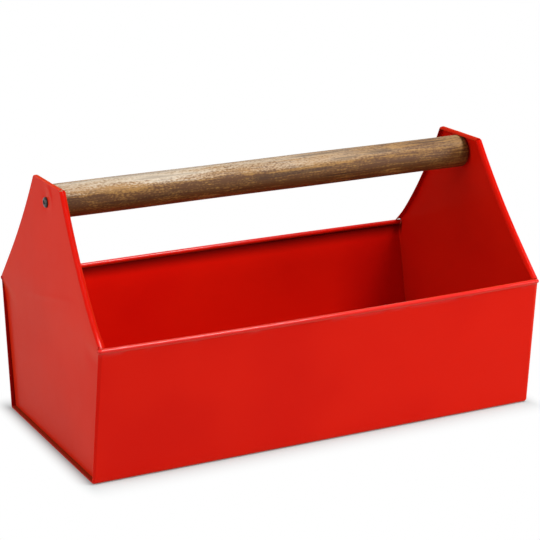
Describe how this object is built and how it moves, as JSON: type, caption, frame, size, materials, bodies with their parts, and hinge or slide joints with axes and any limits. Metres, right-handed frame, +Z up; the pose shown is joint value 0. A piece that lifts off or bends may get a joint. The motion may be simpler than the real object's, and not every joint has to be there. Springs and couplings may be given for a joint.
{
  "type": "handled planter box",
  "caption": "Toolbox-shaped planter of painted sheet metal: an open trough with flared walls, peaked end panels and a round wooden carrying handle between their peaks.",
  "frame": {"origin": "on the floor, under the middle of the box", "axes": "+X along the box and its handle, towards the right end; +Y towards the rear wall; +Z up"},
  "size_m": [0.4064, 0.2384, 0.2236],
  "materials": {
    "red_paint": "glossy red paint on thin steel sheet",
    "stained_wood": "dark stained and varnished, grain showing",
    "black_screw": "black oxide, half gloss"
  },
  "bodies": {
    "box": {"body_wrap": "red_paint", "left_end_panel": "red_paint", "right_end_panel": "red_paint"},
    "handle": {"wooden_handle": "stained_wood", "left_screw": "black_screw", "right_screw": "black_screw"}
  },
  "joints": [
    {"name": "handle_turn", "type": "hinge", "parent": "box", "child": "handle", "pos_m": [0, 0, 0.2072], "axis": [1, 0, 0], "continuous": true}
  ]
}
